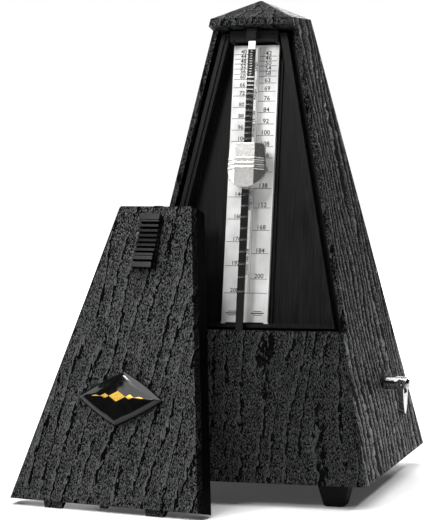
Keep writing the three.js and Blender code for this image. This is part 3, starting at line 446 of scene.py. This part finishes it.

# %% [markdown]
# ### Where the black finishes shine
# A black piece's shine is turned down where shade falls on it, as painted shade on its reflection. The
# thumb slide of the latch shines fully on its raised ribs, and its shine is turned down near the cover,
# as painted shade between the ribs. The dome of the badge shines on top, and its shine is turned down
# round its steep edge, as painted shade. The feet and the inner pieces hardly shine at all.

# %% Painted shade on the shine, by height and by facing, and dull pieces
SLIDE_SHADED_UP = 1.8 * MM
SLIDE_UNSHADED_UP = 3.8 * MM
DULL_SHINE = 0.12
latch_face = badge_middle.dot(cover_out)
latch_tree = LATCH_BLACK.node_tree
latch_height = along(latch_tree, "Object", tuple(cover_out))
# Painted shade: the slide's shine is turned down near the cover, between its ribs.
latch_tree.links.new(
    ramp(latch_tree, latch_height, latch_face + SLIDE_SHADED_UP, latch_face + SLIDE_UNSHADED_UP, 0.02, 0.32),
    shine(LATCH_BLACK),
)
# Painted shade: the badge's shine is turned down round its steep edge.
resin_tree = RESIN.node_tree
resin_tree.links.new(
    ramp(resin_tree, facing(resin_tree, tuple(cover_out)), 0.5, 0.9, 0.05, 0.4), shine(RESIN)
)
for dull_black in (INNER_BLACK, RUBBER):
    shine(dull_black).default_value = DULL_SHINE
print("latch polished from", round(latch_face + SLIDE_SHADED_UP, 4), "along the cover's outward line")

# %% [markdown]
# ### Metals
# Brushed metals take fine lines along the way they were rolled. The sliding weight is cast, then
# plated, so it keeps a sparkling sand texture. Turned and stamped brass has soft tarnish. The rod keeps
# its colour only on its flat front, and is painted dark in its grooves and on its edges, as painted shade.
# The scale plate is satin under clear lacquer, so less than half of it is metal, and it stays pale even
# where it has only a dark room to mirror.

# %% Metal finishes
CLOUD = (14 * MM, 14 * MM, 14 * MM)
TARNISH = 0.72
# Painted shade on the rod's grooves and edges.
GROOVE_SHADE = 0.06
SAND_DARK = 0.4
LACQUERED_METAL = 0.4


def brushed(name, colour, roughness, size, turn=(0, 0, 0), depth=0.01 * MM, unshaded_facing=None):
    """Metal with fine lines, whose size is their length along each axis.

    Given a direction, only the faces that look that way keep their colour; the rest are painted dark, as painted
    shade.
    """
    material, tree, shader = new_finish(name, colour, roughness, 1.0)
    lines = noise(tree, sized(tree, size, turn=turn), 3.0, 0.6)
    if unshaded_facing is None:
        dull = tuple(part * TARNISH for part in colour)
        tone = ramp(tree, noise(tree, sized(tree, CLOUD), 2.0), 0.3, 0.7)
    else:
        # Every face but the chosen one is painted dark, as painted shade in grooves and on edges.
        dull = tuple(part * GROOVE_SHADE for part in colour)
        tone = ramp(tree, facing(tree, unshaded_facing), 0.985, 0.999)
    tree.links.new(blend_colour(tree, tone, dull, colour), shader.inputs["Base Color"])
    tree.links.new(
        ramp(tree, lines, 0.3, 0.7, roughness * 0.75, roughness * 1.35), shader.inputs["Roughness"]
    )
    emboss(tree, shader, lines, depth, 0.5)
    return material


def sparkling(name, colour, roughness, grain, depth):
    """Plated casting with a sandy sparkle."""
    material, tree, shader = new_finish(name, colour, roughness, 1.0)
    sand = noise(tree, sized(tree, (grain, grain, grain)), 2.5, 0.65)
    dull = tuple(part * SAND_DARK for part in colour)
    tree.links.new(
        blend_colour(tree, ramp(tree, sand, 0.32, 0.6), dull, colour), shader.inputs["Base Color"]
    )
    tree.links.new(ramp(tree, sand, 0.3, 0.7, roughness + 0.15, roughness), shader.inputs["Roughness"])
    emboss(tree, shader, sand, depth, 0.8)
    return material


PLATE_METAL = brushed("scale_metal", (0.95, 0.95, 0.94), 0.42, (0.12 * MM, 0.12 * MM, 9 * MM), FRONT_TURN)
PLATE_METAL.node_tree.nodes["Principled BSDF"].inputs["Metallic"].default_value = LACQUERED_METAL
# The rod is painted dark on every face but its flat front, as painted shade in its grooves and on its edges.
ROD_STEEL = brushed(
    "rod_steel", (0.45, 0.44, 0.43), 0.06, (0.2 * MM, 0.2 * MM, 12 * MM), FRONT_TURN,
    depth=0.004 * MM, unshaded_facing=tuple(front_out),
)
STEEL = brushed("machined_steel", (0.48, 0.48, 0.49), 0.3, (3 * MM, 0.15 * MM, 0.15 * MM))
BRASS = brushed("rolled_brass", (0.72, 0.52, 0.22), 0.32, (0.2 * MM, 5 * MM, 0.2 * MM))
BLUED = brushed("blued_spring", (0.13, 0.17, 0.28), 0.3, (0.2 * MM, 0.2 * MM, 3 * MM))
NICKEL = sparkling("weight_nickel", (0.84, 0.83, 0.81), 0.24, 0.4 * MM, 0.05 * MM)
CHROME = sparkling("key_chrome", (0.52, 0.52, 0.53), 0.05, 4 * MM, 0.01 * MM)
GOLD = sparkling("ornament_gold", (0.95, 0.58, 0.10), 0.28, 0.3 * MM, 0.01 * MM)
INK = speckled_black("print_ink", 0.6, 0.01, 0.2 * MM, 0.005 * MM)
print("metal finishes:", PLATE_METAL.name, ROD_STEEL.name, STEEL.name, BRASS.name, BLUED.name)

# %% [markdown]
# ### Floor
# The floor is pale paper. It fades to the white of the backdrop as it runs away from the object, which
# hides the line where the two meet. The fade glows for the camera alone, so it lights nothing.

# %% Floor finish
FADE_FROM = 0.2
FADE_TO = 1.1
paper, paper_tree, paper_shader = new_finish("pale_floor", (0.9, 0.9, 0.9), 0.6)
fibre = noise(paper_tree, sized(paper_tree, (0.2, 0.2, 0.2)), 2.0)
paper_tree.links.new(
    blend_colour(paper_tree, ramp(paper_tree, fibre, 0.3, 0.7), (0.88, 0.88, 0.88), (0.91, 0.91, 0.91)),
    paper_shader.inputs["Base Color"],
)
place = paper_tree.nodes.new("ShaderNodeTexCoord")
span = paper_tree.nodes.new("ShaderNodeVectorMath")
span.operation = "LENGTH"
paper_tree.links.new(place.outputs["Object"], span.inputs[0])
paper_shader.inputs["Emission Color"].default_value = WHITE
seen = paper_tree.nodes.new("ShaderNodeLightPath")
fade = ramp(paper_tree, span.outputs["Value"], FADE_FROM, FADE_TO, 0.05, 1.0)
glow = calc(paper_tree, "MULTIPLY", fade, seen.outputs["Is Camera Ray"])
paper_tree.links.new(glow, paper_shader.inputs["Emission Strength"])
floor.data.materials.append(paper)
print("floor fades from", FADE_FROM, "to", FADE_TO, "metres")

# %% [markdown]
# ## Rounded edges
# The frame's solids have knife-sharp edges, and no real edge is sharp: each one catches a thin line of
# light. Each solid that shows is copied, its loose triangles are merged into clean faces, and a Bevel
# modifier rounds the edges by a few tenths of a millimetre. The copy then stands for the solid.

# %% Helpers for objects
MERGE_WITHIN = 0.002 * MM
FLAT_WITHIN = math.radians(0.6)
EDGE_ANGLE = math.radians(28)
SOFT_ANGLE = 40
PILLOW_ANGLE = 60


def only(thing):
    """Makes one object the selected and active one."""
    bpy.ops.object.select_all(action="DESELECT")
    thing.select_set(True)
    bpy.context.view_layer.objects.active = thing


def wear(thing, material):
    """Gives an object one material."""
    thing.data.materials.clear()
    thing.data.materials.append(material)


def clean_copy(node, name):
    """A merged copy of a CAD node, with flat faces joined up."""
    source = frame["nodes"][node]
    copy = bpy.data.objects.new(name, source.data.copy())
    bpy.context.scene.collection.objects.link(copy)
    only(copy)
    bpy.ops.object.mode_set(mode="EDIT")
    bpy.ops.mesh.select_all(action="SELECT")
    bpy.ops.mesh.customdata_custom_splitnormals_clear()
    bpy.ops.mesh.remove_doubles(threshold=MERGE_WITHIN)
    bpy.ops.mesh.dissolve_limited(angle_limit=FLAT_WITHIN)
    bpy.ops.object.mode_set(mode="OBJECT")
    return copy


def smooth(thing, angle=SOFT_ANGLE):
    """Smooth shading across edges flatter than an angle in degrees."""
    only(thing)
    bpy.ops.object.shade_smooth_by_angle(angle=math.radians(angle))


def apply_all(thing):
    """Applies every modifier in order."""
    only(thing)
    for modifier in list(thing.modifiers):
        bpy.ops.object.modifier_apply(modifier=modifier.name)


def rounded(node, material, width, soft_angle):
    """Stands a copy with rounded edges in for a CAD node."""
    copy = clean_copy(node, node + "_finished")
    bevel = copy.modifiers.new("edges", "BEVEL")
    bevel.width = width
    bevel.segments = 2
    bevel.limit_method = "ANGLE"
    bevel.angle_limit = EDGE_ANGLE
    apply_all(copy)
    smooth(copy, soft_angle)
    flat = copy.modifiers.new("flat_faces", "WEIGHTED_NORMAL")
    flat.keep_sharp = True
    apply_all(copy)
    wear(copy, material)
    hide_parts(node)
    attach(copy, BODY_OF[node])
    return copy


SLOTS = {part["node"]: part["material_slot"] for part in frame["record"]["subparts"]}
BODY_OF = {
    node: body for body, nodes in frame["record"]["behaviour"]["bodies"].items() for node in nodes
}

# %% [markdown]
# The next cell lists the pieces that show, each with its finish and the rounding of its edges in
# millimetres. Mouldings are rounded by a quarter of a millimetre or so, and sheet metal by much less.
# The badge alone is shaded smooth across its steeper edges, because resin pours into a soft pillow.

# %% Round the pieces that show
EDGES = [
    ("case_shell", CASE_GRAIN, 0.25),
    ("cover_shell", COVER_GRAIN, 0.25),
    ("front_panel", PANEL_BLACK, 0.3),
    ("scale_backing", PANEL_BLACK, 0.12),
    ("scale_plate", PLATE_METAL, 0.12),
    ("pendulum_catch", INNER_BLACK, 0.3),
    ("bottom_plate", INNER_BLACK, 0.3),
    ("foot_front_left", RUBBER, 0.4),
    ("foot_front_right", RUBBER, 0.4),
    ("foot_rear", RUBBER, 0.4),
    ("slide_weight", NICKEL, 0.35),
    ("key_handle", CHROME, 0.35),
    ("winding_arbor", CHROME, 0.25),
    ("key_pin", CHROME, 0.15),
    ("key_bushing", INNER_BLACK, 0.25),
    ("latch_slider", LATCH_BLACK, 0.22),
    ("latch_bolt", LATCH_BLACK, 0.2),
    ("latch_guide", LATCH_BLACK, 0.2),
    ("pendulum_rod", ROD_STEEL, 0.08),
    ("cover_badge", RESIN, 0.3),
]
finished = {}
for node, material, width in EDGES:
    angle = PILLOW_ANGLE if node == "cover_badge" else SOFT_ANGLE
    finished[node] = rounded(node, material, width * MM, angle)
    print(node, len(finished[node].data.polygons), "faces")

# %% [markdown]
# ## The movement
# The wheels, plates and springs are hidden inside. They keep their solids and only need their metals.

# %% Metals of the movement
for node, thing in frame["nodes"].items():
    if node in finished:
        wear(thing, finished[node].data.materials[0])
    elif SLOTS[node] == "brass":
        wear(thing, BRASS)
    elif SLOTS[node] == "spring_steel":
        wear(thing, BLUED)
    else:
        wear(thing, STEEL)
print("pieces kept as solids:", len(frame["nodes"]) - len(finished))

# %% [markdown]
# ## Printed scale
# A wind-up metronome shows the speed at the top edge of its weight. The marks are not evenly spaced:
# they follow the law of a pendulum with one weight below the pivot and one above it. Working the marks
# out from that law puts each line level with its groove on the rod. Each line is a thin slab, and each
# figure is text made into a mesh, so the print is real geometry on the plate.

# %% Where each tempo stands
GRAVITY = 9.81
LAW_REACH = 138.4 * MM
LAW_INERTIA = 9739 * MM * MM
LAW_ZERO_UP = 71 * MM
TEMPOS = [
    40, 42, 44, 46, 48, 50, 52, 54, 56, 58, 60, 63, 66, 69, 72, 76, 80, 84, 88, 92,
    96, 100, 104, 108, 112, 116, 120, 126, 132, 138, 144, 152, 160, 168, 176, 184, 192, 200, 208,
]


def tempo_up(beats):
    """Height up the slope of the mark for a number of beats in a minute."""
    rate = math.pi * beats / 60
    pull = GRAVITY * front_up.z
    inside = pull * pull - 4 * rate * rate * (rate * rate * LAW_INERTIA - pull * LAW_REACH)
    return LAW_ZERO_UP + (math.sqrt(inside) - pull) / (2 * rate * rate)


plate_near = -(reach("scale_plate", front_out)[1] - front_foot.dot(front_out))
print("slowest and fastest mark:", round(tempo_up(40), 4), round(tempo_up(208), 4))

# %% Slabs and figures of ink
INK_THICKNESS = 0.06 * MM
INK_OUT = -plate_near + INK_THICKNESS / 4
SPREAD = 0.012
printed = []


def ink_line(across0, across1, up0, up1):
    """A thin printed slab between two corners of the plate's face."""
    bpy.ops.object.select_all(action="DESELECT")
    middle = Vector(((across0 + across1) / 2, (up0 + up1) / 2, INK_OUT))
    bpy.ops.mesh.primitive_cube_add(size=1, location=(0, 0, 0))
    slab = bpy.context.object
    slab.matrix_world = FRONT @ Matrix.Translation(middle) @ Matrix.Diagonal(
        (across1 - across0, up1 - up0, INK_THICKNESS, 1)
    )
    bpy.ops.object.transform_apply(location=True, rotation=True, scale=True)
    printed.append(slab)


def ink_text(words, across, up, size, align="CENTER", turn=0.0):
    """Printed figures or words whose baseline starts at a point of the plate's face."""
    bpy.ops.object.select_all(action="DESELECT")
    bpy.ops.object.text_add(location=(0, 0, 0))
    text = bpy.context.object
    text.data.body = words
    text.data.size = size
    text.data.align_x = align
    text.data.extrude = INK_THICKNESS / 2
    text.data.offset = SPREAD * size
    text.data.resolution_u = 3
    bpy.ops.object.convert(target="MESH")
    text = bpy.context.object
    place = Matrix.Translation((across, up, INK_OUT))
    text.matrix_world = FRONT @ place @ Matrix.Rotation(turn, 4, "Z")
    bpy.ops.object.transform_apply(location=True, rotation=True, scale=True)
    printed.append(text)


# %% [markdown]
# Slow and fast marks take turns on the two sides of the rod. Two rules run down beside the rod, and the
# tempo words are written up along them. Each word is as large as its own stretch of the scale allows.

# %% Marks, rules and words
LINE = 0.22 * MM
FIGURE = 2.95 * MM
LEFT_FIGURE = FIGURE * 0.92
FIGURE_LIFT = 0.4 * MM
LEFT_EDGE = -10.3 * MM
LEFT_INNER = -1.6 * MM
LEFT_FIGURES = -7.4 * MM
RULE = 1.75 * MM
THIN_RULE = 0.1 * MM
THICK_RULE = 0.12 * MM
RULE_GAP = 0.7 * MM
RULE_ABOVE = 3 * MM
RIGHT_EDGE = 10.0 * MM
RIGHT_FIGURES = 6.0 * MM
WORDS = RULE - 1.1 * MM
WORD_SIZE = 1.9 * MM
LETTER_WIDTH = 0.56
RANGE_ROOM = 14 * MM
for index, beats in enumerate(TEMPOS):
    up = tempo_up(beats)
    if index % 2 == 0:
        ink_line(LEFT_EDGE, LEFT_INNER, up - LINE / 2, up + LINE / 2)
        ink_text(str(beats), LEFT_FIGURES, up + FIGURE_LIFT, LEFT_FIGURE, "LEFT")
    else:
        ink_line(RULE, RIGHT_EDGE, up - LINE / 2, up + LINE / 2)
        ink_text(str(beats), RIGHT_FIGURES, up + FIGURE_LIFT, FIGURE)
low_mark = tempo_up(TEMPOS[-1])
high_mark = tempo_up(TEMPOS[0])
ink_line(RULE - RULE_GAP, RULE - RULE_GAP + THIN_RULE, low_mark, high_mark + RULE_ABOVE)
ink_line(RULE, RULE + THICK_RULE, low_mark, high_mark + RULE_ABOVE)
ink_line(LEFT_INNER, RIGHT_EDGE, low_mark - LINE / 2, low_mark + LINE / 2)
SPEEDS = [
    ("Largo", 40, 60), ("Larghetto", 60, 66), ("Adagio", 66, 76), ("Andante", 76, 108),
    ("Moderato", 108, 120), ("Allegro", 120, 168), ("Presto", 168, 208),
]
for word, slow, fast in SPEEDS:
    room_for = tempo_up(slow) - tempo_up(fast)
    label = f"{word} {slow}-{fast}" if room_for > RANGE_ROOM else word
    size = min(WORD_SIZE, room_for / (LETTER_WIDTH * len(label)))
    halfway = (tempo_up(slow) + tempo_up(fast)) / 2
    ink_text(label, WORDS, halfway, size, turn=math.radians(90))
print("marks:", len(TEMPOS), "tempo words:", len(SPEEDS))

# %% A plain ornament at the foot of the plate
ORNAMENT_DROP = 9.2 * MM
ORNAMENT_ACROSS = 6 * MM
foot_up = low_mark - ORNAMENT_DROP
# Half the length of each line, and the heights of its lower and upper edge.
ORNAMENT_LINES = [
    (3 * MM, -0.25 * MM, 0.25 * MM), (2 * MM, 0.7 * MM, 1.0 * MM), (2 * MM, -1.0 * MM, -0.7 * MM),
]
for side in (-1, 1):
    middle = side * ORNAMENT_ACROSS
    for half, low, high in ORNAMENT_LINES:
        ink_line(middle - half, middle + half, foot_up + low, foot_up + high)
print("ornament lines:", 2 * len(ORNAMENT_LINES))

# %% Join the print into one piece


def joined(pieces, name):
    """Several objects made into one, which takes a new name."""
    only(pieces[0])
    for piece in pieces:
        piece.select_set(True)
    bpy.ops.object.join()
    bpy.context.object.name = name
    return bpy.context.object


scale_print = joined(printed, "scale_print")
wear(scale_print, INK)
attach(scale_print, "case")
print("scale print:", len(scale_print.data.polygons), "faces")

# %% [markdown]
# ## Ornament on the badge
# The badge is a poured dome of black resin, and its gilding lies on the dome like foil. A flat shape is
# cut into small faces, pressed onto the dome by a Shrinkwrap modifier, and given the thickness of foil
# by a Solidify modifier. The device is a plain row of lozenges.

# %% Gilding
FOIL = 0.12 * MM
FOIL_UP = 0.3 * MM
CLEAR_OF_DOME = 8 * MM
# Place across the badge, half the width and half the height of each lozenge, in millimetres.
LOZENGES = [(0, 4.2, 2.4), (-6.6, 2.4, 1.5), (6.6, 2.4, 1.5), (-11.4, 2.9, 0.7), (11.4, 2.9, 0.7)]
gilding = []


def lozenge(across, half_width, half_height):
    """A foil lozenge pressed onto the dome of the badge."""
    bpy.ops.object.select_all(action="DESELECT")
    bpy.ops.mesh.primitive_circle_add(vertices=4, radius=1, fill_type="NGON", location=(0, 0, 0))
    foil = bpy.context.object
    bpy.ops.object.mode_set(mode="EDIT")
    bpy.ops.mesh.select_all(action="SELECT")
    bpy.ops.mesh.poke()
    bpy.ops.mesh.subdivide(number_cuts=7)
    bpy.ops.object.mode_set(mode="OBJECT")
    place = Matrix.Translation((across, FOIL_UP, CLEAR_OF_DOME))
    foil.matrix_world = COVER @ place @ Matrix.Diagonal((half_width, half_height, 1, 1))
    bpy.ops.object.transform_apply(location=True, rotation=True, scale=True)
    press = foil.modifiers.new("press", "SHRINKWRAP")
    press.target = finished["cover_badge"]
    press.wrap_method = "NEAREST_SURFACEPOINT"
    press.offset = FOIL
    thicken = foil.modifiers.new("thicken", "SOLIDIFY")
    thicken.thickness = FOIL * 0.8
    thicken.offset = 0
    apply_all(foil)
    gilding.append(foil)


for across, half_width, half_height in LOZENGES:
    lozenge(across * MM, half_width * MM, half_height * MM)
ornament = joined(gilding, "badge_ornament")
bpy.ops.object.mode_set(mode="EDIT")
bpy.ops.mesh.select_all(action="SELECT")
bpy.ops.mesh.normals_make_consistent(inside=False)
bpy.ops.object.mode_set(mode="OBJECT")
smooth(ornament)
wear(ornament, GOLD)
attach(ornament, "cover")
print("ornament:", len(ornament.data.polygons), "faces")
